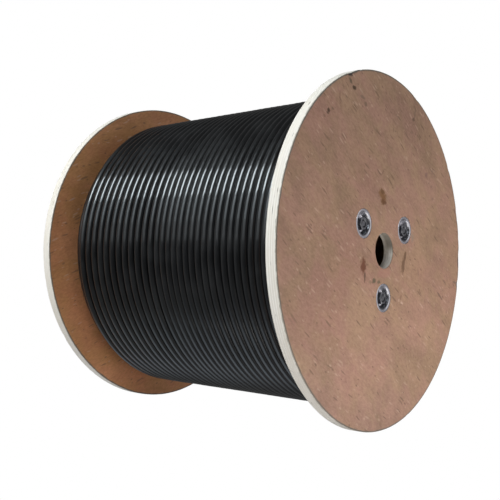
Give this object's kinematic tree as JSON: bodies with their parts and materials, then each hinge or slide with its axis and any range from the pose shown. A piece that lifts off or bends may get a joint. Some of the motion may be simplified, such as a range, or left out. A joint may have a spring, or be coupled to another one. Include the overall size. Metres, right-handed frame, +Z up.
{
  "type": "cable drum",
  "caption": "Plywood cable drum on a tube barrel with tie rods and dished washers, wound full with black round cable.",
  "frame": {"origin": "centre of the box's bottom face, midway between the flanges under the drum's axis", "axes": "+X along the drum's axis towards the near flange, +Z up"},
  "size_m": [0.3586, 0.4, 0.3999],
  "materials": {
    "plywood": "dry veneer faces with pale raw ply edges",
    "board_tube": "spiral wound board, matt",
    "cable_jacket": "glossy black extruded jacket",
    "zinc_steel": "zinc plated pressed and turned steel"
  },
  "bodies": {
    "root": {"flange_near": "plywood", "flange_far": "plywood", "barrel": "board_tube", "cable_winding": "cable_jacket", "tie_rod_1": "zinc_steel", "tie_rod_2": "zinc_steel", "tie_rod_3": "zinc_steel", "dished_washer_near_1": "zinc_steel", "dished_washer_near_2": "zinc_steel", "dished_washer_near_3": "zinc_steel", "dished_washer_far_1": "zinc_steel", "dished_washer_far_2": "zinc_steel", "dished_washer_far_3": "zinc_steel", "nut_near_1": "zinc_steel", "nut_near_2": "zinc_steel", "nut_near_3": "zinc_steel", "nut_far_1": "zinc_steel", "nut_far_2": "zinc_steel", "nut_far_3": "zinc_steel"}
  },
  "joints": []
}
